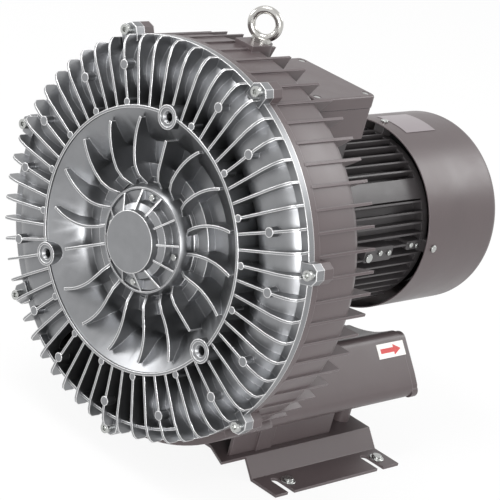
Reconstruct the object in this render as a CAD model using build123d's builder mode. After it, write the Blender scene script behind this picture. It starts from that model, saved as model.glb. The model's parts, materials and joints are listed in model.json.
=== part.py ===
"""Side channel blower: two-sided impeller in a ring channel, driven by a finned motor.

Millimetres, +Z up, +Y from the impeller cover to the motor, +X to the right seen from
the cover.  z = 0 is the underside of the feet; x = 0 holds the shaft.
"""

from build123d import *
import math
import os

os.makedirs("parts", exist_ok=True)

# ---------------------------------------------------------------- driving dimensions
shaft_height = 290.0  # feet underside to shaft axis
nose_reach = 53.0  # casing joint to the face of the cover's hub disc
tail_reach = 528.0  # casing joint to the back of the fan cowl
joint_y = (nose_reach - tail_reach) / 2  # row position of the casing joint

press_gap = 0.02  # radial gap of pieces that are pressed or bolted fast
running_gap = 0.05  # radial gap of a shaft in a bore
face_gap = 0.5  # impeller face to casing face

# ring channel and casing
channel_radius = 38.0
channel_ring = 205.0
casing_wall = 6.0
impeller_width = 42.0
front_channel = 19.0  # joint to the centre plane of the cover's half channel
rear_channel = front_channel + impeller_width + 2 * face_gap
shell_radius = channel_radius + casing_wall
casing_radius = channel_ring + shell_radius
stopper_start = -118.0  # the cover's wall that parts inlet from outlet, degrees
stopper_sweep = 50.0

# cover
cover_flange = 10.0
rim_crest = 39.0
rim_inner = 160.0
rim_outer = 167.0
rim_crest_width = 3.6
dish_floor = 6.0  # joint to the back of the dish's floor
dish_floor_edge = 119.0  # radius where the floor meets the step
step_radius = 125.5  # radius of the step's edge, where the cone to the rim begins
platform_radius = 93.0
platform_height = 12.0
platform_groove = (70.5, 76.0)  # radii of the groove round the hub ring
hub_shoulder_radius = 69.5
hub_crest_radius = 65.0
hub_ring_inner = 61.0
hub_ring_height = 31.5
hub_floor = 28.0
hub_collar_radius = 46.5
hub_collar_height = 38.0
hub_disc_radius = 38.5
nut_pocket_radius = 29.0
hub_web_count = 12
hub_web_start = 17.0  # degrees
hub_web_thickness = 2.2
hub_screw_count = 4
hub_screw_pitch = 55.0
hub_screw_start = 2.0  # degrees
hub_screw_head = 3.5
fin_count = 57
fin_thickness = 3.2
fin_crest = 37.0
fin_overhang = 1.0  # fin tips past the flange
pocket_wall = (230.5, 234.0)  # radii of the wall round the pockets of the stop
pocket_wall_crest = 29.0
pocket_wall_start = -124.0  # degrees
pocket_wall_sweep = 67.0
swirl_count = 18
swirl_thickness = 3.4
swirl_foot = 66.0
swirl_reach = 151.0
boss_rib_reach = 132.0
swirl_lag = 2.0  # degrees that each swirl rib's ends lie behind its pitch line
swirl_bow = 10.0  # height of the rib's arc over its chord
outer_pad_fins = (3, 6, 10, 13, 17, 20, 24, 28, 32, 35, 39, 43, 46, 50, 53)  # from the top
outer_pad_pitch = 214.0
outer_pad_radius = 6.0
inner_pad_fins = (2, 6, 9, 12, 15, 22, 26, 29, 32, 35, 41, 44, 47, 50, 53)
inner_pad_pitch = 169.0
inner_pad_radius = 4.6
boss_count = 3
boss_pitch_radius = 162.0
boss_radius = 15.0
boss_height = 42.0
boss_recess_radius = 11.5
boss_recess_depth = 1.5
boss_countersink = 8.5
boss_tapping_radius = 5.1  # M12 tapping hole
boss_tapping_depth = 30.0

# casing screws
lug_count = 7
lug_start = -88.0  # degrees, the lowest lug
lug_pitch_radius = 256.5
lug_reach = 265.0
lug_width = 26.0
lug_corner = 7.0
cover_lug_thickness = 14.0
housing_lug_thickness = 16.0
m8_radius = 4.0
m8_head_radius = 6.5
m8_head_height = 8.0
m8_socket_across = 6.0

# housing
band_radius = 247.0
casing_fin_thickness = 3.6
casing_fin_crest = 249.3
casing_fin_tip = 111.0  # joint to the points at the back of the fins
casing_fin_shift = 0.28  # share of the pitch that the fins stand off the top
back_wall_front = 74.0
back_wall = 8.0
motor_flange = 104.0  # joint to the face the motor frame bolts to
motor_flange_radius = 122.0
back_rib_count = 26
back_rib_thickness = 5.0
eye_station = 91.0  # joint to the lifting eye
eye_seat = 254.0  # shaft axis to the seat of the lifting eye
eye_boss_radius = 15.0
eye_thread_radius = 5.0  # M10
eye_thread_length = 17.0
eye_ring_outer = 22.5
eye_wire = 5.0
eye_collar_radius = 12.5
eye_turn = 28.0  # degrees that the tightened eye stands turned from square to the shaft

# rotor
impeller_seat = 19.0
impeller_hub_radius = 34.0
impeller_hub_length = 52.0
impeller_clear = 0.6
blade_count = 44
blade_thickness = 3.0
impeller_rim_inner = 155.0
impeller_rim_outer = 172.0
shaft_body = 25.0
rotor_radius = 59.6
air_gap = 0.5
rotor_start = 165.0
rotor_length = 150.0
key_width = 10.0
key_height = 8.0

# bearings: bore radius, outer radius, width, ball radius, ball count
front_bearing = (20.0, 45.0, 23.0, 7.5, 8)
front_bearing_start = 86.0
rear_bearing = (17.5, 40.0, 21.0, 6.7, 8)
rear_bearing_start = 381.0
race_gap = 0.12

# motor
frame_bore = 92.0
frame_tube = 100.0
motor_fin_count = 52
motor_fin_tip = 116.5
motor_fin_thickness = 2.6
frame_panel_start = 33.0  # degrees, right-hand panel
frame_panel_sweep = 14.0
frame_panel_radius = 114.5
frame_end = 377.0
shield_thickness = 12.0
cowl_radius = 129.0
cowl_sheet = 1.6
cowl_front = 373.0
cowl_corner = 16.0
fan_start = 428.0
fan_radius = 104.0
fan_blades = 8

# terminal box
box_start = 146.0
box_end = 260.0
box_half_width = 66.0
box_bottom = 142.0
box_top = 184.0
box_wall = 4.0
lid_overhang = 2.0
lid_height = 16.0
gasket = 1.0
m5_radius = 2.5
gland_radius = 16.0

# silencers and their ports
duct_start = 114.0
duct_end = 402.0
duct_inner = 165.0
duct_outer = 256.0
duct_near = -88.0  # duct side by the middle, degrees
duct_far = -51.0  # duct side by the outside, degrees
duct_wall = 5.0
port_ring = 211.0
port_angle = -69.5
port_bore = 28.33  # G 2 female thread, minor radius
port_flange = 12.0
liner_wall = 6.0

duct_crease = 228.0  # radius where the duct's outer side breaks into a leaning facet
facet_lean = 0.4  # degrees
duct_corner = 14.0
duct_screws = [(177, -84), (177, -55.5), (244, -84.5), (244, -54.7)]  # radius, degrees

# feet
foot_sheet = 4.0
foot_outer = 186.0
foot_bend = 141.0
foot_inner = 62.0
foot_ridge = 27.0
foot_front = 126.0
foot_back = 374.0
bracket_start = 104.0
bracket_end = 300.0
foot_tongue = 46.0
slot_from_front = 30.0
slot_pitch = 180.0
slot_width = 13.0
slot_depth = 35.0
post_thickness = 5.0

shaft_axis = Axis((0, joint_y, shaft_height), (0, 1, 0))
profile_plane = Plane(
    origin=(0, joint_y, shaft_height), x_dir=(0, 1, 0), z_dir=(1, 0, 0)
)


def station(y):
    """Plane square to the shaft, y behind the joint; extrude(-d) goes towards the motor."""
    return Plane(
        origin=(0, joint_y + y, shaft_height), x_dir=(1, 0, 0), z_dir=(0, -1, 0)
    )


def level(z):
    """Horizontal plane, z above the floor, with y counted from the joint."""
    return Plane(origin=(0, joint_y, z), x_dir=(1, 0, 0), z_dir=(0, 0, 1))


def band(start, end, inner, outer, mode=Mode.ADD):
    """Rectangle in a half section: from start to end along the shaft, inner to outer radius."""
    with Locations(((start + end) / 2, (inner + outer) / 2)):
        Rectangle(end - start, outer - inner, mode=mode)


def disc_at(start, radius, centre, mode=Mode.ADD):
    """Circle in a half section, its centre start along the shaft and centre from the axis."""
    with Locations((start, centre)):
        Circle(radius, mode=mode)


def sector(inner, outer, start, sweep):
    """Piece of a ring between two radii, from an angle over a sweep in degrees."""
    with BuildLine() as outline:
        inside = CenterArc((0, 0), inner, start, sweep)
        outside = CenterArc((0, 0), outer, start, sweep)
        Line(inside @ 0, outside @ 0)
        Line(inside @ 1, outside @ 1)
    make_face(outline.edges())


def polar(radius, angle):
    """Point in a cross section at a radius and an angle in degrees."""
    return (
        radius * math.cos(math.radians(angle)),
        radius * math.sin(math.radians(angle)),
    )


def profile(*points):
    """Closed outline of straight lines, made into a face."""
    with BuildLine() as outline:
        Polyline(*points, close=True)
    make_face(outline.edges())


def lug_faces(root):
    """Outlines of all the screw lugs, from a root radius out, their outer corners cut off."""
    half = lug_width / 2
    for angle in lug_angles:
        with Locations(Location((0, 0), angle)):
            Polygon(
                (root, -half),
                (lug_reach - lug_corner, -half),
                (lug_reach, -half + lug_corner),
                (lug_reach, half - lug_corner),
                (lug_reach - lug_corner, half),
                (root, half),
                align=None,
            )


def keep(builder, name):
    """Label a finished piece and write it."""
    builder.part.label = name
    export_step(builder.part, f"parts/{name}.step")
    print(f"{name}: {len(builder.part.solids())} solids, {builder.part.volume:.0f} mm3")


from_start = (Align.CENTER, Align.CENTER, Align.MIN)
lug_angles = [lug_start + n * 360 / lug_count for n in range(lug_count)]
boss_angles = [90 + n * 360 / boss_count for n in range(boss_count)]


# ---------------------------------------------------------------- impeller cover
def fin_side(deep):
    """Side view of one radial cooling fin of the cover, over the ring channel."""
    foot = front_channel - casing_wall / 2 if deep else 0
    profile(
        (foot, rim_outer - 3),
        (-fin_crest, rim_outer - 3),
        (-fin_crest, casing_radius - 24),
        (-fin_crest + 2.5, casing_radius - 10),
        (-fin_crest + 6, casing_radius - 3),
        (-fin_crest + 11, casing_radius + fin_overhang),
        (-cover_flange - 3, casing_radius + fin_overhang),
        (-cover_flange + 1, casing_radius - 1),
        (-cover_flange + 1, casing_radius - 12),
        (foot, casing_radius - 12),
    )
    if not deep:
        disc_at(front_channel, channel_radius + casing_wall / 2, channel_ring, Mode.SUBTRACT)


def one_fin(deep):
    """One radial fin, standing at 90 degrees."""
    with BuildPart() as fin:
        with BuildSketch(profile_plane):
            fin_side(deep)
        extrude(amount=fin_thickness / 2, both=True)
    return fin.part


def swirl_rib(angle, to_boss):
    """Outline of one rib of the dish, bowed, or short and straight where it runs to a boss."""
    foot = polar(swirl_foot, angle - swirl_lag)
    with BuildLine() as path:
        if to_boss:
            Line(foot, polar(boss_rib_reach, angle - swirl_lag / 2))
        else:
            middle_radius = (swirl_foot + swirl_reach) / 2
            lean = math.degrees(swirl_bow / middle_radius)
            tip = polar(swirl_reach, angle - swirl_lag)
            ThreePointArc(foot, polar(middle_radius, angle - swirl_lag + lean), tip)
    trace(path.edges(), line_width=swirl_thickness)


def hub_ring_side():
    """Half section of the hub ring, its recess and the disc inside it."""
    profile(
        (-platform_height, hub_shoulder_radius),
        (-hub_ring_height + 8, hub_shoulder_radius - 0.7),
        (-hub_ring_height + 3, hub_shoulder_radius - 2.2),
        (-hub_ring_height, hub_crest_radius),
        (-hub_ring_height, hub_crest_radius - 2.2),
        (-hub_floor, hub_ring_inner),
        (-hub_floor, hub_collar_radius + 3),
        (-hub_collar_height, hub_collar_radius),
        (-hub_collar_height - 4, hub_disc_radius),
        (-nose_reach, hub_disc_radius),
        (-nose_reach, 0),
        (-platform_height, 0),
    )


with BuildPart() as dish_ribs:
    with BuildSketch(station(-rim_crest + 3)):
        for n in range(swirl_count):
            swirl_rib(90 + n * 360 / swirl_count, n % (swirl_count // boss_count) == 0)
    extrude(amount=-(rim_crest - 3 + 1))
    # the ribs come down in a slope to the shoulder of the hub ring
    with BuildSketch(profile_plane):
        profile(
            (-rim_crest, swirl_foot - 5),
            (-rim_crest, swirl_foot + 30),
            (-rim_crest + 3, swirl_foot + 27),
            (-rim_crest + 6.5, swirl_foot + 14),
            (-platform_height - 11, hub_shoulder_radius),
            (-platform_height - 11, swirl_foot - 5),
        )
    revolve(axis=shaft_axis, mode=Mode.SUBTRACT)

# one sloping web of the hub recess
with BuildPart() as hub_web:
    with BuildSketch(profile_plane):
        profile(
            (-hub_floor + 1, hub_ring_inner + 1.5),
            (-hub_ring_height, hub_ring_inner + 1.5),
            (-hub_collar_height - 8, hub_disc_radius - 1),
            (-hub_floor + 1, hub_disc_radius - 1),
        )
    extrude(amount=hub_web_thickness / 2, both=True)

rim_middle = (rim_inner + rim_outer) / 2
fin_pitch = 360 / fin_count
stop_reach = channel_ring + channel_radius - impeller_clear
fill_reach = channel_ring + math.sqrt(channel_radius**2 - front_channel**2)
with BuildPart() as front_cover:
    with BuildSketch(profile_plane):
        disc_at(front_channel, shell_radius, channel_ring)
        with Locations((front_channel + shell_radius, channel_ring)):
            Rectangle(2 * shell_radius, 3 * shell_radius, mode=Mode.SUBTRACT)
        band(-cover_flange, 0, casing_radius - 11, casing_radius)
        band(0, front_channel, rim_inner, channel_ring - channel_radius)
        # rim, drafted towards its crest
        profile(
            (-rim_crest, rim_middle - rim_crest_width / 2),
            (-rim_crest, rim_middle + rim_crest_width / 2),
            (0, rim_outer),
            (0, rim_inner),
        )
        disc_at(front_channel, channel_radius, channel_ring, Mode.SUBTRACT)
        band(0, front_channel + shell_radius, channel_ring, casing_radius + 5, Mode.SUBTRACT)
        # dish: floor, step and the cone that rises to the rim
        profile(
            (dish_floor, platform_radius - 4),
            (0, platform_radius - 4),
            (0, dish_floor_edge),
            (-platform_height, step_radius),
            (-rim_crest + 2, rim_inner + 3),
            (-rim_crest + 10, rim_inner + 3),
            (-platform_height + 4, step_radius + 6),
            (dish_floor, dish_floor_edge + 6),
        )
        band(-platform_height, 2 * dish_floor, nut_pocket_radius, platform_radius)
        hub_ring_side()
        band(-platform_height, -platform_height + 2.5, *platform_groove, Mode.SUBTRACT)
        band(-hub_floor - dish_floor, 2 * dish_floor + 1, 0, nut_pocket_radius, Mode.SUBTRACT)
        band(
            -platform_height / 2,
            2 * dish_floor + 1,
            hub_disc_radius + 6,
            platform_radius - 5,
            Mode.SUBTRACT,
        )
    revolve(axis=shaft_axis)
    # between inlet and outlet the channel ends at a flat stop wall behind deep pockets
    with BuildSketch(station(-rim_crest - 1)):
        sector(rim_outer, pocket_wall[0], stopper_start, stopper_sweep)
    extrude(amount=-(rim_crest + 1 + front_channel - casing_wall), mode=Mode.SUBTRACT)
    with BuildSketch(station(front_channel - casing_wall)):
        sector(rim_outer - 4, stop_reach, stopper_start, stopper_sweep)
    extrude(amount=-casing_wall)
    # outside the pockets the channel is filled, inside the housing's half of the ring, and
    # the pockets' wall runs on a little past them
    with BuildSketch(station(-casing_wall)):
        sector(pocket_wall[0], fill_reach, stopper_start, stopper_sweep)
    extrude(amount=-casing_wall)
    with BuildSketch(station(0)):
        sector(pocket_wall[0], fill_reach - impeller_clear, stopper_start, stopper_sweep)
    extrude(amount=-front_channel)
    with BuildSketch(station(-pocket_wall_crest)):
        sector(*pocket_wall, stopper_start, stopper_sweep)
    extrude(amount=-pocket_wall_crest)
    with BuildSketch(station(-pocket_wall_crest)):
        sector(*pocket_wall, pocket_wall_start, pocket_wall_sweep)
    extrude(amount=-(pocket_wall_crest - 12))
    plain_fin = one_fin(False)
    deep_fin = one_fin(True)
    fins = []
    for n in range(fin_count):
        angle = 90 + n * 360 / fin_count
        inside_stop = stopper_start + 1 < angle - 360 < stopper_start + stopper_sweep - 1
        fins.append((deep_fin if inside_stop else plain_fin).rotate(shaft_axis, -(angle - 90)))
    add(fins)
    add(dish_ribs.part)
    # round pads on the fins, where the casting was pushed from its mould
    with BuildSketch(station(-fin_crest - 1)):
        for fin in outer_pad_fins:
            with Locations(polar(outer_pad_pitch, 90 - fin * fin_pitch)):
                Circle(outer_pad_radius)
    extrude(amount=-14)
    with BuildSketch(station(-fin_crest - 1)):
        for fin in inner_pad_fins:
            with Locations(polar(inner_pad_pitch, 90 - fin * fin_pitch)):
                Circle(inner_pad_radius)
    extrude(amount=-16)
    with BuildSketch(station(-boss_height)):
        for angle in boss_angles:
            with Locations(polar(boss_pitch_radius, angle)):
                Circle(boss_radius)
    extrude(amount=-(boss_height - 8))
    webs = []
    for n in range(hub_web_count):
        angle = hub_web_start + n * 360 / hub_web_count
        webs.append(hub_web.part.rotate(shaft_axis, -(angle - 90)))
    add(webs)
    # tapped, countersunk boss holes
    for angle in boss_angles:
        across, up = polar(boss_pitch_radius, angle)
        mouth = Plane(origin=(across, joint_y - boss_height, shaft_height + up), z_dir=(0, 1, 0))
        with Locations(mouth):
            Cylinder(boss_recess_radius, boss_recess_depth, align=from_start, mode=Mode.SUBTRACT)
            Cone(boss_countersink, boss_tapping_radius, 5, align=from_start, mode=Mode.SUBTRACT)
            Cylinder(boss_tapping_radius, boss_tapping_depth, align=from_start, mode=Mode.SUBTRACT)
    with BuildSketch(station(-hub_floor)):
        with PolarLocations(hub_screw_pitch, hub_screw_count, hub_screw_start):
            Circle(m5_radius + press_gap)
    extrude(amount=-12, mode=Mode.SUBTRACT)
    # screw lugs
    with BuildSketch(station(-cover_lug_thickness)):
        lug_faces(casing_radius - 8)
    extrude(amount=-cover_lug_thickness)
    with BuildSketch(station(-cover_lug_thickness - 30)):
        for angle in lug_angles:
            with Locations(polar(lug_pitch_radius, angle)):
                Circle(m8_head_radius + 1)
    extrude(amount=-30, mode=Mode.SUBTRACT)
    with BuildSketch(station(-cover_lug_thickness)):
        for angle in lug_angles:
            with Locations(polar(lug_pitch_radius, angle)):
                Circle(m8_radius + 0.5)
    extrude(amount=-cover_lug_thickness, mode=Mode.SUBTRACT)
keep(front_cover, "front_cover")

with BuildPart() as hub_screws:
    with BuildSketch(station(-hub_floor - hub_screw_head)):
        with PolarLocations(hub_screw_pitch, hub_screw_count, hub_screw_start):
            Circle(4.2)
    extrude(amount=-hub_screw_head)
    with BuildSketch(station(-hub_floor)):
        with PolarLocations(hub_screw_pitch, hub_screw_count, hub_screw_start):
            Circle(m5_radius)
    extrude(amount=-10)
keep(hub_screws, "hub_screws")

with BuildPart() as cover_screws:
    with BuildSketch(station(-cover_lug_thickness - m8_head_height)):
        for angle in lug_angles:
            with Locations(polar(lug_pitch_radius, angle)):
                Circle(m8_head_radius)
    extrude(amount=-m8_head_height)
    with BuildSketch(station(-cover_lug_thickness)):
        for angle in lug_angles:
            with Locations(polar(lug_pitch_radius, angle)):
                Circle(m8_radius)
    extrude(amount=-(cover_lug_thickness + housing_lug_thickness - 2))
    with BuildSketch(station(-cover_lug_thickness - m8_head_height)):
        for angle in lug_angles:
            with Locations(polar(lug_pitch_radius, angle)):
                RegularPolygon(m8_socket_across / 2, 6, major_radius=False)
    extrude(amount=-m8_head_height / 2, mode=Mode.SUBTRACT)
keep(cover_screws, "cover_screws")


# ---------------------------------------------------------------- housing
front_bore = front_bearing[1] + press_gap
seal_radius = 31.0
housing_stop_start = -101.0
housing_stop_sweep = 22.0
duct_sweep = duct_far - duct_near
retainer_screw_pitch = 50.5
port_centres = [polar(port_ring, port_angle), polar(port_ring, -180 - port_angle)]
motor_screw_radius = 5.0
motor_screw_pitch = 110.0
motor_screw_angles = [45 + 90 * n for n in range(4)]


def duct_section():
    """Cross section of the right silencer duct, a piece of a ring with rounded corners."""
    with BuildSketch(Plane.XY) as face:
        with BuildLine() as outline:
            CenterArc((0, 0), duct_inner, duct_near, duct_sweep)
            Line(polar(duct_inner, duct_far), polar(duct_crease, duct_far))
            Line(polar(duct_crease, duct_far), polar(duct_outer, duct_far - facet_lean))
            CenterArc((0, 0), duct_outer, duct_near, duct_sweep - facet_lean)
            Line(polar(duct_outer, duct_near), polar(duct_inner, duct_near))
        make_face(outline.edges())
        fillet(face.vertices().sort_by_distance((0, 0))[:2], duct_corner)
        fillet(face.vertices().sort_by_distance((0, 0))[-2:], duct_corner)
    return face.sketch


def casing_fin():
    """One fin along the band, ending behind the rear channel in a point."""
    with BuildPart() as rib:
        with BuildSketch(profile_plane):
            profile(
                (cover_flange - 2, band_radius - 3),
                (cover_flange - 2, casing_fin_crest),
                (casing_fin_tip, casing_fin_crest),
                (casing_fin_tip - 7, casing_fin_crest - 17),
                (casing_fin_tip - 10, casing_fin_crest - 24),
                (rear_channel + 36, channel_ring + 15),
                (rear_channel, channel_ring + channel_radius + 2),
            )
            disc_at(rear_channel, channel_radius + casing_wall / 2, channel_ring, Mode.SUBTRACT)
        extrude(amount=casing_fin_thickness / 2, both=True)
    return rib.part


def back_rib():
    """One gusset from the rear channel down to the motor flange."""
    with BuildPart() as rib:
        with BuildSketch(profile_plane):
            profile(
                (rear_channel + 36, channel_ring + 20),
                (rear_channel + 50, channel_ring),
                (rear_channel + 62, channel_ring - 32),
                (motor_flange + 76, motor_flange_radius + 6),
                (motor_flange + 76, motor_flange_radius + 1),
                (motor_flange - 1, motor_flange_radius + 1),
                (motor_flange - 1, motor_flange_radius - 6),
                (back_wall_front + 2, motor_flange_radius - 8),
                (back_wall_front + 2, rim_inner + 2),
            )
            disc_at(rear_channel, channel_radius + casing_wall / 2, channel_ring, Mode.SUBTRACT)
        extrude(amount=back_rib_thickness / 2, both=True)
    return rib.part


with BuildPart() as housing:
    with BuildSketch(profile_plane):
        disc_at(rear_channel, shell_radius, channel_ring)
        with Locations((rear_channel - shell_radius, channel_ring)):
            Rectangle(2 * shell_radius, 3 * shell_radius, mode=Mode.SUBTRACT)
        band(0, rear_channel, channel_ring + channel_radius / 2, casing_radius)
        band(cover_flange, motor_flange, band_radius, casing_radius + 5, Mode.SUBTRACT)
        band(rear_channel, back_wall_front + back_wall, rim_inner, channel_ring - channel_radius)
        band(back_wall_front, back_wall_front + back_wall, seal_radius, rim_inner + 1)
        band(back_wall_front, motor_flange, 94, motor_flange_radius)
        band(back_wall_front, front_bearing_start, seal_radius, front_bore + 11)
        band(back_wall_front + back_wall, front_bearing_start, shaft_body, front_bore + 11)
        band(front_bearing_start, front_bearing_start + front_bearing[2], front_bore, front_bore + 11)
    revolve(axis=shaft_axis)
    # outlet and inlet ducts behind the channel, and the outlet's bulge in the band
    with BuildSketch(station(rear_channel)):
        sector(duct_inner, duct_outer, duct_near, duct_sweep)
        sector(duct_inner, duct_outer, -180 - duct_far, duct_sweep)
    extrude(amount=-(duct_start - gasket - rear_channel))
    with BuildSketch(station(housing_lug_thickness / 2)):
        sector(channel_ring + channel_radius - 1, duct_outer + 2, duct_near + 6, duct_sweep - 2)
    extrude(amount=-(rear_channel + 30 - housing_lug_thickness / 2))
    whole_fin = casing_fin()
    casing_fins = []
    for n in range(fin_count):
        angle = 90 - (n + casing_fin_shift) * 360 / fin_count
        if not duct_near - 44 < angle < duct_far + 6:
            casing_fins.append(whole_fin.rotate(shaft_axis, -(angle - 90)))
    add(casing_fins)
    whole_gusset = back_rib()
    gussets = []
    for n in range(back_rib_count):
        angle = 90 + (n + 0.5) * 360 / back_rib_count
        if not duct_near - 44 < angle - 360 < duct_far + 3:
            gussets.append(whole_gusset.rotate(shaft_axis, -(angle - 90)))
    add(gussets)
    with BuildSketch(station(0)):
        lug_faces(band_radius - 3)
    extrude(amount=-housing_lug_thickness)
    # boss of the lifting eye
    with BuildSketch(level(shaft_height + eye_seat)):
        with Locations((0, eye_station)):
            Circle(eye_boss_radius)
        with Locations((0, eye_station - eye_boss_radius)):
            Rectangle(2 * eye_boss_radius, 2 * eye_boss_radius)
    extrude(amount=-30)
    # room for the terminal box and its seat on the motor
    with BuildSketch(station(box_start - 1.5)):
        with Locations((0, box_bottom)):
            Rectangle(2 * box_half_width + 5, 60)
    extrude(amount=-60, mode=Mode.SUBTRACT)
    # inside: rear half channel, impeller space and the cover's half of the ring
    with BuildSketch(profile_plane):
        disc_at(rear_channel, channel_radius, channel_ring)
        disc_at(front_channel, channel_radius, channel_ring)
        band(0, front_channel, 0, channel_ring)
        band(front_channel, rear_channel, 0, channel_ring + channel_radius)
    revolve(axis=shaft_axis, mode=Mode.SUBTRACT)
    with BuildSketch(station(rear_channel)):
        sector(duct_inner + 1, channel_ring + channel_radius + 1, housing_stop_start, housing_stop_sweep)
    extrude(amount=-channel_radius)
    with BuildSketch(station(rear_channel)):
        for centre in port_centres:
            with Locations(centre):
                Circle(port_bore)
    extrude(amount=-(duct_start - rear_channel), mode=Mode.SUBTRACT)
    with BuildSketch(station(0)):
        for angle in lug_angles:
            with Locations(polar(lug_pitch_radius, angle)):
                Circle(m8_radius + press_gap)
    extrude(amount=-housing_lug_thickness, mode=Mode.SUBTRACT)
    with BuildSketch(level(shaft_height + eye_seat)):
        with Locations((0, eye_station)):
            Circle(eye_thread_radius + press_gap)
    extrude(amount=-eye_thread_length - 1, mode=Mode.SUBTRACT)
    with BuildSketch(station(motor_flange)):
        for angle in motor_screw_angles:
            with Locations(polar(motor_screw_pitch, angle)):
                Circle(motor_screw_radius + press_gap)
    extrude(amount=20, mode=Mode.SUBTRACT)
    with BuildSketch(station(duct_start - gasket)):
        for radius, angle in duct_screws:
            for side in (angle, -180 - angle):
                with Locations(polar(radius, side)):
                    Circle(m8_radius + press_gap)
    extrude(amount=18, mode=Mode.SUBTRACT)
    with BuildSketch(station(front_bearing_start + front_bearing[2])):
        with PolarLocations(retainer_screw_pitch, 3, 90):
            Circle(m5_radius + press_gap)
    extrude(amount=14, mode=Mode.SUBTRACT)
keep(housing, "housing")


# ---------------------------------------------------------------- rotor
impeller_middle = (front_channel + rear_channel) / 2
blade_tip = channel_ring + channel_radius - impeller_clear
hub_start = impeller_middle - impeller_hub_length / 2
shaft_start = hub_start + 1.0
bearing_seat_start = hub_start + impeller_hub_length + 1.5
washer_thickness = 4.0
key_depth = 5.0  # depth of the impeller key in the shaft
key_start = hub_start + 6
key_length = 40.0
m12_radius = 6.0
fan_seat = 15.0
fan_key_width = 5.0
fan_key_bottom = 12.0
fan_hub_length = 40.0
clip_width = 2.0
clip_groove = 14.0


def key_face(width, bottom, top):
    """Section of a key or its slot, above the shaft axis."""
    with Locations((0, (bottom + top) / 2)):
        Rectangle(width, top - bottom)


with BuildPart() as shaft:
    with BuildSketch(profile_plane):
        band(shaft_start, bearing_seat_start, 0, impeller_seat)
        band(bearing_seat_start, front_bearing_start + front_bearing[2], 0, front_bearing[0])
        band(front_bearing_start + front_bearing[2], rear_bearing_start, 0, shaft_body)
        band(rear_bearing_start, rear_bearing_start + rear_bearing[2], 0, rear_bearing[0])
        band(rear_bearing_start + rear_bearing[2], fan_start + fan_hub_length + 8, 0, fan_seat)
        band(
            fan_start + fan_hub_length,
            fan_start + fan_hub_length + clip_width,
            clip_groove,
            fan_seat + 1,
            Mode.SUBTRACT,
        )
    revolve(axis=shaft_axis)
    with BuildSketch(station(key_start)):
        key_face(key_width, impeller_seat - key_depth, impeller_seat + 5)
    extrude(amount=-key_length, mode=Mode.SUBTRACT)
    with BuildSketch(station(fan_start + 4)):
        key_face(fan_key_width, fan_key_bottom, fan_seat + 5)
    extrude(amount=-fan_hub_length + 10, mode=Mode.SUBTRACT)
    with BuildSketch(station(shaft_start)):
        Circle(m12_radius + press_gap)
    extrude(amount=-28, mode=Mode.SUBTRACT)
keep(shaft, "shaft")

with BuildPart() as impeller:
    with BuildSketch(profile_plane):
        band(hub_start, hub_start + impeller_hub_length, impeller_seat + press_gap, impeller_hub_radius)
        band(impeller_middle - 6, impeller_middle + 6, impeller_hub_radius, impeller_rim_inner)
        band(
            impeller_middle - impeller_width / 2,
            impeller_middle + impeller_width / 2,
            impeller_rim_inner,
            impeller_rim_outer,
        )
        band(impeller_middle - 1.5, impeller_middle + 1.5, impeller_rim_outer, blade_tip)
    revolve(axis=shaft_axis)
    with BuildSketch(station(impeller_middle - impeller_width / 2)):
        for n in range(blade_count):
            angle = 90 + n * 360 / blade_count
            middle = (impeller_rim_outer - 3 + blade_tip) / 2
            with Locations(Location(polar(middle, angle), angle)):
                Rectangle(blade_tip - impeller_rim_outer + 3, blade_thickness)
    extrude(amount=-impeller_width)
    with BuildSketch(station(hub_start)):
        key_face(key_width, impeller_seat - 2, impeller_seat - key_depth + key_height + 0.3)
    extrude(amount=-impeller_hub_length, mode=Mode.SUBTRACT)
keep(impeller, "impeller")

with BuildPart() as impeller_key:
    with BuildSketch(station(key_start)):
        key_face(
            key_width - 2 * press_gap,
            impeller_seat - key_depth + press_gap,
            impeller_seat - key_depth + key_height,
        )
    extrude(amount=-key_length)
keep(impeller_key, "impeller_key")

with BuildPart() as impeller_washer:
    with BuildSketch(station(hub_start - washer_thickness)):
        Circle(nut_pocket_radius - 4)
        Circle(m12_radius + 0.5, mode=Mode.SUBTRACT)
    extrude(amount=-washer_thickness)
keep(impeller_washer, "impeller_washer")

with BuildPart() as impeller_screw:
    with BuildSketch(station(hub_start - washer_thickness - 7.5)):
        RegularPolygon(9, 6, major_radius=False)
    extrude(amount=-7.5)
    with BuildSketch(station(hub_start - washer_thickness)):
        Circle(m12_radius)
    extrude(amount=-washer_thickness - 25)
keep(impeller_screw, "impeller_screw")

with BuildPart() as rotor_core:
    with BuildSketch(profile_plane):
        band(rotor_start, rotor_start + rotor_length, shaft_body + press_gap, rotor_radius)
        band(rotor_start - 8, rotor_start + rotor_length + 8, 44, rotor_radius - 2)
    revolve(axis=shaft_axis)
    with BuildSketch(station(rotor_start - 18)):
        with PolarLocations(51, 12):
            Rectangle(10, 3)
    extrude(amount=-rotor_length - 36)
    with BuildSketch(station(rotor_start)):
        Circle(rotor_radius - 1)
        Circle(shaft_body + press_gap, mode=Mode.SUBTRACT)
    extrude(amount=-rotor_length)
keep(rotor_core, "rotor_core")

with BuildPart() as fan:
    with BuildSketch(profile_plane):
        band(fan_start, fan_start + fan_hub_length, fan_seat + press_gap, 27)
        band(fan_start, fan_start + 3, 26, fan_radius)
    revolve(axis=shaft_axis)
    with BuildSketch(station(fan_start)):
        with PolarLocations((26 + fan_radius) / 2, fan_blades):
            Rectangle(fan_radius - 26, 3)
    extrude(amount=-fan_hub_length)
    with BuildSketch(station(fan_start)):
        key_face(fan_key_width, fan_seat - 2, fan_key_bottom + 5.3)
    extrude(amount=-fan_hub_length, mode=Mode.SUBTRACT)
keep(fan, "fan")

with BuildPart() as fan_key:
    with BuildSketch(station(fan_start + 4)):
        key_face(fan_key_width - 2 * press_gap, fan_key_bottom + press_gap, fan_key_bottom + 5)
    extrude(amount=-fan_hub_length + 10)
keep(fan_key, "fan_key")

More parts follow.
